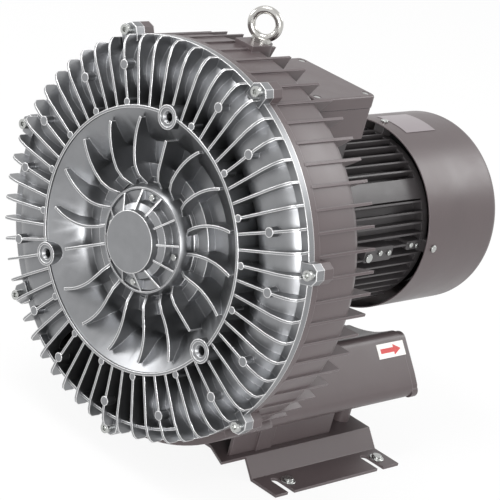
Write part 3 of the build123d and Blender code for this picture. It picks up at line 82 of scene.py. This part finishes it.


# a surface whose colour and gloss wander between two values over cloudSize, with optional rounded
# sharp edges and a painted highlight along them, a fine grain and a slow wave; sizes are in metres
def makeFinish(name, look):
    made = bpy.data.materials.new(name)
    made.use_nodes = True
    tree = made.node_tree
    tree.nodes.clear()
    place = addNode(tree, "ShaderNodeTexCoord").outputs["Object"]
    cloud = addNode(
        tree,
        "ShaderNodeTexNoise",
        {"Scale": 1 / look["cloudSize"], "Detail": 5.0, "Roughness": 0.6},
        {"Vector": place},
    ).outputs["Fac"]
    tone = addNode(
        tree,
        "ShaderNodeMix",
        {"data_type": "RGBA", 6: hexColour(look["dark"]), 7: hexColour(look["light"])},
        {0: cloud},
    )
    # painted highlight: outward edges are lightened in colour to stand in for the light they catch
    if "edgeLight" in look:
        # inside the solid, other faces are near only along its outward edges
        inward = {"samples": 8, "inside": True, "only_local": True, "Distance": look["edge"]}
        depth = addNode(tree, "ShaderNodeAmbientOcclusion", inward)
        paintedHighlightShare = addNode(
            tree,
            "ShaderNodeMapRange",
            {
                "From Min": edgeHighlightOpenness[0],
                "From Max": edgeHighlightOpenness[1],
                "To Min": 0.0,
                "To Max": 1.0,
            },
            {"Value": depth.outputs["AO"]},
        )
        tone = addNode(
            tree,
            "ShaderNodeMix",
            {"data_type": "RGBA", 7: hexColour(look["edgeLight"])},
            {0: paintedHighlightShare.outputs["Result"], 6: tone.outputs[2]},
        )
    gloss = addNode(
        tree,
        "ShaderNodeMapRange",
        {
            "From Min": cloudRange[0],
            "From Max": cloudRange[1],
            "To Min": look["gloss"][0],
            "To Max": look["gloss"][1],
        },
        {"Value": cloud},
    )
    shader = addNode(
        tree,
        "ShaderNodeBsdfPrincipled",
        {
            "Metallic": look.get("metallic", 0.0),
            "IOR": look.get("ior", 1.5),
            "Coat Weight": look.get("coat", 0.0),
            "Coat Roughness": look.get("coatGloss", 0.1),
        },
        {"Base Color": tone.outputs[2], "Roughness": gloss.outputs["Result"]},
    )
    normal = None
    if "edge" in look:
        rounded = addNode(tree, "ShaderNodeBevel", {"samples": 6, "Radius": look["edge"]})
        normal = rounded.outputs["Normal"]
    for relief, detail in (("wave", 1.0), ("grain", 3.0)):
        if relief in look:
            size, height = look[relief]
            noise = addNode(
                tree, "ShaderNodeTexNoise", {"Scale": 1 / size, "Detail": detail}, {"Vector": place}
            )
            links = {"Height": noise.outputs["Fac"]}
            if normal:
                links["Normal"] = normal
            bump = addNode(tree, "ShaderNodeBump", {"Strength": 1.0, "Distance": height}, links)
            normal = bump.outputs["Normal"]
    if normal:
        tree.links.new(normal, shader.inputs["Normal"])
    addNode(tree, "ShaderNodeOutputMaterial", None, {"Surface": shader.outputs["BSDF"]})
    return made


looks = {
    # die cast aluminium as it leaves the mould: grey satin metal, a skin that clouds and ripples
    # slightly, so that highlights break up along the fins, and a painted highlight along the edges
    "dieCastAluminium": {
        "dark": "7c7d7f", "light": "969799", "metallic": 1.0, "gloss": (0.33, 0.42),
        "cloudSize": 35 * mm, "edge": 1.25 * mm, "edgeLight": "f0f0f0",
        "grain": (1.1 * mm, 0.03 * mm), "wave": (14 * mm, 0.12 * mm),
    },
    # the impeller's machined casting: the same metal, smoother and lighter
    "machinedAluminium": {
        "dark": "8d8e90", "light": "a3a4a5", "metallic": 1.0, "gloss": (0.2, 0.28),
        "cloudSize": 8 * mm,
    },
    # sprayed two-part enamel over castings and sheet: warm grey, low sheen, faint orange peel, and a
    # faint painted highlight along the edges
    "sprayedEnamel": {
        "dark": "4a4142", "light": "544a4b", "gloss": (0.34, 0.44), "ior": 1.5,
        "cloudSize": 60 * mm, "edge": 1.2 * mm, "edgeLight": "645b5d",
        "grain": (2.4 * mm, 0.04 * mm), "wave": (22 * mm, 0.12 * mm),
    },
    # the same enamel, darker, on the motor frame
    "frameEnamel": {
        "dark": "343132", "light": "3f3c3d", "gloss": (0.38, 0.48), "ior": 1.5,
        "cloudSize": 40 * mm, "edge": 0.8 * mm, "grain": (2.0 * mm, 0.04 * mm),
    },
    # zinc plated steel of the screws: bright and cool, blotched at the size of a droplet
    "zincPlate": {
        "dark": "9fa1a0", "light": "c4c5c2", "metallic": 1.0, "gloss": (0.22, 0.34),
        "cloudSize": 4 * mm,
    },
    # forged eye under bright zinc: close to a mirror, with soft spots
    "brightZinc": {
        "dark": "a9a8a5", "light": "cfcdc9", "metallic": 1.0, "gloss": (0.14, 0.24),
        "cloudSize": 8 * mm, "grain": (1.5 * mm, 0.02 * mm),
    },
    # turned and ground steel of the shaft and bearings: even and shiny
    "turnedSteel": {
        "dark": "8c8d8f", "light": "a2a3a5", "metallic": 1.0, "gloss": (0.18, 0.26),
        "cloudSize": 12 * mm,
    },
    # stack of varnished steel sheets: dark, dull metal
    "laminatedSteel": {
        "dark": "4a4b4d", "light": "5c5d5f", "metallic": 1.0, "gloss": (0.4, 0.55),
        "cloudSize": 5 * mm,
    },
    # enamelled copper wire of the winding: red brown with a varnish sheen
    "enamelledCopper": {
        "dark": "7a3f22", "light": "9a5530", "metallic": 0.7, "gloss": (0.25, 0.4),
        "cloudSize": 3 * mm, "coat": 0.6,
    },
    # brass of the terminal studs: yellow metal, lightly tarnished
    "brassBar": {
        "dark": "b08d45", "light": "c9a75c", "metallic": 1.0, "gloss": (0.2, 0.3),
        "cloudSize": 4 * mm,
    },
    # moulded nitrile rubber of seal and gasket: near black, dull
    "mouldedRubber": {
        "dark": "161616", "light": "1f1f1f", "gloss": (0.6, 0.75), "ior": 1.52,
        "cloudSize": 10 * mm,
    },
    # pressed fibre sheet of the duct gaskets: dark grey, matt, fibrous
    "fibreSheet": {
        "dark": "3f403f", "light": "4c4d4b", "gloss": (0.7, 0.85), "cloudSize": 1.5 * mm,
        "grain": (0.6 * mm, 0.05 * mm),
    },
    # open cell polyurethane foam of the silencers: black, matt, pitted
    "blackFoam": {
        "dark": "1c1c1d", "light": "303031", "gloss": (0.85, 0.95), "cloudSize": 2 * mm,
        "grain": (1.2 * mm, 0.3 * mm),
    },
    # moulded polyamide of gland, plug, fan and terminal block: black with a light eroded grain
    "blackPolyamide": {
        "dark": "181819", "light": "232324", "gloss": (0.38, 0.5), "ior": 1.53,
        "cloudSize": 15 * mm, "grain": (0.9 * mm, 0.03 * mm),
    },
    # undyed polyamide of the bearing cages: cream, slightly waxy
    "naturalPolyamide": {
        "dark": "b6a983", "light": "c8bc98", "gloss": (0.4, 0.5), "ior": 1.53,
        "cloudSize": 6 * mm,
    },
    # printed polyester film of the arrow labels: white, smooth, slightly glossy
    "labelFilm": {
        "dark": "e4e2de", "light": "eceae6", "gloss": (0.26, 0.34), "cloudSize": 20 * mm,
    },
    # metallised film of the plate on the cowl: dull silver
    "silverFilm": {
        "dark": "857d80", "light": "958d90", "metallic": 0.3, "gloss": (0.28, 0.36),
        "cloudSize": 12 * mm,
    },
    # red screen ink of the arrows: solid colour, a little glossier than the film
    "redInk": {"dark": "b81c1a", "light": "c6231f", "gloss": (0.26, 0.34), "cloudSize": 9 * mm},
}
finishes = {name: makeFinish(name, look) for name, look in looks.items()}
slotFinish = {
    "bare_casting": "dieCastAluminium",
    "painted_casting": "sprayedEnamel",
    "painted_sheet": "sprayedEnamel",
    "frame_paint": "frameEnamel",
    "impeller_casting": "machinedAluminium",
    "steel": "turnedSteel",
    "zinc_steel": "zincPlate",
    "eye_steel": "brightZinc",
    "laminations": "laminatedSteel",
    "copper": "enamelledCopper",
    "brass": "brassBar",
    "rubber": "mouldedRubber",
    "gasket_sheet": "fibreSheet",
    "foam": "blackFoam",
    "black_plastic": "blackPolyamide",
    "cage_plastic": "naturalPolyamide",
    "label": "labelFilm",
}
nodeFinish = {"cowl_label": "silverFilm"}
slotOf = {part["node"]: part["material_slot"] for part in frame["record"]["subparts"]}
bodies = frame["record"]["behaviour"]["bodies"]
bodyOf = {name: body for body, names in bodies.items() for name in names}


def finishOf(nodeName):
    return finishes[nodeFinish.get(nodeName, slotFinish[slotOf[nodeName]])]


for nodeName, solid in frame["nodes"].items():
    for place in solid.material_slots:
        place.material = finishOf(nodeName)
print("finishes set")


# gives a piece its finish and smooth shading, and lets it ride on the body of its node
def dress(made, nodeName, finish, smoothAngle=35.0):
    mesh = made.data
    mesh.materials.clear()
    mesh.materials.append(finish)
    mesh.polygons.foreach_set("use_smooth", np.ones(len(mesh.polygons), dtype=bool))
    mesh.set_sharp_from_angle(angle=math.radians(smoothAngle))
    mesh.update()
    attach(made, bodyOf[nodeName])


# copy of a node with flat facets merged and sharp edges rounded, which stands for the node
def soften(nodeName, width):
    mesh = frame["nodes"][nodeName].data.copy()
    made = bpy.data.objects.new(nodeName + "Soft", mesh)
    bpy.context.scene.collection.objects.link(made)
    shape = bmesh.new()
    shape.from_mesh(mesh)
    bmesh.ops.remove_doubles(shape, verts=shape.verts, dist=softening["mergeDistance"])
    bmesh.ops.dissolve_limit(
        shape, angle_limit=softening["flatAngle"], verts=shape.verts, edges=shape.edges
    )
    shape.to_mesh(mesh)
    shape.free()
    for layer in list(mesh.attributes):
        if layer.name in ("custom_normal", "sharp_face", "sharp_edge"):
            mesh.attributes.remove(layer)
    bevel = made.modifiers.new("roundedEdges", "BEVEL")
    bevel.width = width
    bevel.segments = softening["segments"]
    bevel.limit_method = "ANGLE"
    bevel.angle_limit = softening["edgeAngle"]
    dress(made, nodeName, finishOf(nodeName))
    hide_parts(nodeName)


edgeRadii = {
    "front_cover": 1.1 * mm,
    "hub_screws": 0.8 * mm,
    "housing": 1.2 * mm,
    "silencer_right": 1.5 * mm,
    "silencer_left": 1.5 * mm,
    "port_flange_right": 1.2 * mm,
    "port_flange_left": 1.2 * mm,
    "foot_right": 1.0 * mm,
    "foot_left": 1.0 * mm,
    "foot_bracket_right": 0.6 * mm,
    "foot_bracket_left": 0.6 * mm,
    "terminal_box": 1.4 * mm,
    "box_lid": 0.8 * mm,
    "motor_frame": 0.6 * mm,
    "end_shield": 0.8 * mm,
    "fan_cowl": 0.4 * mm,
    "cover_screws": 0.7 * mm,
    "duct_bolts": 0.7 * mm,
    "cowl_screws": 0.6 * mm,
    "earth_screws": 0.5 * mm,
    "foot_screws": 0.7 * mm,
    "foot_bolts": 0.7 * mm,
    "lid_screws": 0.6 * mm,
    "cable_gland": 0.7 * mm,
    "blanking_plug": 0.7 * mm,
}
for nodeName, width in edgeRadii.items():
    soften(nodeName, width)
print("edges softened")


# Printed arrow: a flat outline of seven points, given a thickness.  It lies on the label, along
# the shaft (u) and outward from it (v), and points from the casing to the port.
arrow = {
    "start": 354 * mm,
    "length": 42 * mm,
    "shaftHalf": 3.2 * mm,
    "headHalf": 7.4 * mm,
    "headLength": 15 * mm,
    "radius": 191 * mm,
    "angle": math.radians(-51),
    "lift": 0.3 * mm,
    "thickness": 0.08 * mm,
}


def addArrow(name, side):
    tip = arrow["start"] + arrow["length"]
    neck = tip - arrow["headLength"]
    shaftHalf = arrow["shaftHalf"]
    headHalf = arrow["headHalf"]
    u = np.array([arrow["start"], neck, neck, tip, neck, neck, arrow["start"]])
    v = np.array([-shaftHalf, -shaftHalf, -headHalf, 0, headHalf, shaftHalf, shaftHalf])
    outward = np.array([math.cos(arrow["angle"]), 0, math.sin(arrow["angle"])])
    normal = np.array([-math.sin(arrow["angle"]), 0, math.cos(arrow["angle"])])
    base = np.array([0, jointY, shaftHeight]) + outward * arrow["radius"] + normal * arrow["lift"]
    low = base + v[:, None] * outward + u[:, None] * np.array([0, 1, 0])
    points = np.concatenate([low, low + normal * arrow["thickness"]]) * [side, 1, 1]
    count = len(u)
    around = np.arange(count)
    after = (around + 1) % count
    faces = [list(around[::-1]), list(around + count)]
    faces += np.stack([around, after, after + count, around + count], axis=1).tolist()
    if side < 0:
        faces = [face[::-1] for face in faces]
    mesh = bpy.data.meshes.new(name)
    mesh.from_pydata(points.tolist(), [], faces)
    made = bpy.data.objects.new(name, mesh)
    bpy.context.scene.collection.objects.link(made)
    dress(made, "flow_labels", finishes["redInk"])


addArrow("arrowRight", 1)
addArrow("arrowLeft", -1)
print("arrows printed")


# whether a ray comes from the camera, or mirrors or passes through to it, as 0 or 1
def seenPlainly(tree):
    path = addNode(tree, "ShaderNodeLightPath")
    seen = path.outputs["Is Camera Ray"]
    for kind in ("Is Glossy Ray", "Is Transmission Ray"):
        both = {0: seen, 1: path.outputs[kind]}
        seen = addNode(tree, "ShaderNodeMath", {"operation": "MAXIMUM"}, both).outputs[0]
    return seen


room = {
    "floorSize": 40,
    "floorGlow": 0.9,  # share of plain white in the floor as it is seen
    "worldLight": 0.6,  # strength of the world where it lights the object
}


# pale floor in an even white surrounding; what is left of its own shading keeps the shadow
def addRoom():
    half = room["floorSize"] / 2
    mesh = bpy.data.meshes.new("floor")
    corners = [(-half, -half, 0), (half, -half, 0), (half, half, 0), (-half, half, 0)]
    mesh.from_pydata(corners, [], [(0, 1, 2, 3)])
    floor = bpy.data.objects.new("floor", mesh)
    bpy.context.scene.collection.objects.link(floor)
    # matt paper floor: white, without gloss
    paper = bpy.data.materials.new("whitePaper")
    paper.use_nodes = True
    tree = paper.node_tree
    tree.nodes.clear()
    matt = addNode(tree, "ShaderNodeBsdfDiffuse", {"Color": hexColour("f2f2f2")})
    glow = addNode(tree, "ShaderNodeEmission", {"Color": (1, 1, 1, 1), "Strength": 1.0})
    share = addNode(
        tree,
        "ShaderNodeMath",
        {"operation": "MULTIPLY", 1: room["floorGlow"]},
        {0: seenPlainly(tree)},
    )
    mixed = addNode(
        tree,
        "ShaderNodeMixShader",
        None,
        {0: share.outputs[0], 1: matt.outputs[0], 2: glow.outputs[0]},
    )
    addNode(tree, "ShaderNodeOutputMaterial", None, {"Surface": mixed.outputs[0]})
    mesh.materials.append(paper)
    world = bpy.data.worlds.new("studio")
    world.use_nodes = True
    tree = world.node_tree
    tree.nodes.clear()
    strength = addNode(
        tree,
        "ShaderNodeMapRange",
        {"From Min": 0.0, "From Max": 1.0, "To Min": room["worldLight"], "To Max": 1.0},
        {"Value": seenPlainly(tree)},
    )
    white = addNode(
        tree,
        "ShaderNodeBackground",
        {"Color": (1, 1, 1, 1)},
        {"Strength": strength.outputs["Result"]},
    )
    addNode(tree, "ShaderNodeOutputWorld", None, {"Surface": white.outputs[0]})
    bpy.context.scene.world = world


# one soft square lamp that looks at the middle of the blower, its power in watts
def addLamp(name, place, size, power):
    data = bpy.data.lights.new(name, "AREA")
    data.size = size
    data.energy = power
    made = bpy.data.objects.new(name, data)
    bpy.context.scene.collection.objects.link(made)
    towards = bodyMiddle - Vector(place)
    turn = towards.to_track_quat("-Z", "Y").to_matrix().to_4x4()
    made.matrix_world = Matrix.Translation(place) @ turn


# camera right of and above the cover: right, up and backward axes, then its place
camera = {
    "right": (0.70094, 0.66869, 0.24807),
    "up": (-0.41206, 0.09580, 0.90610),
    "back": (0.58214, -0.73735, 0.34269),
    "place": (1.75017, -2.27572, 1.28500),
    "lens": 168.38,
    "sensor": 36.0,
}


def addCamera():
    data = bpy.data.cameras.new("camera")
    data.sensor_width = camera["sensor"]
    data.lens = camera["lens"]
    data.clip_start = 0.05
    data.clip_end = 60.0
    made = bpy.data.objects.new("camera", data)
    bpy.context.scene.collection.objects.link(made)
    columns = [camera["right"], camera["up"], camera["back"], camera["place"]]
    rows = [[column[row] for column in columns] for row in range(3)]
    made.matrix_world = Matrix(rows + [[0, 0, 0, 1]])
    bpy.context.scene.camera = made


addRoom()
addLamp("keyLamp", (2.4, -2.0, 0.9), 1.0, 62)
addLamp("topLamp", (-0.4, -1.0, 3.0), 1.2, 50)
addLamp("fillLamp", (-2.6, -2.0, 1.2), 1.2, 36)
addLamp("backLamp", (0.9, 2.6, 2.0), 1.4, 34)
addCamera()
bpy.context.scene.view_settings.view_transform = "Standard"
print("light and camera set")
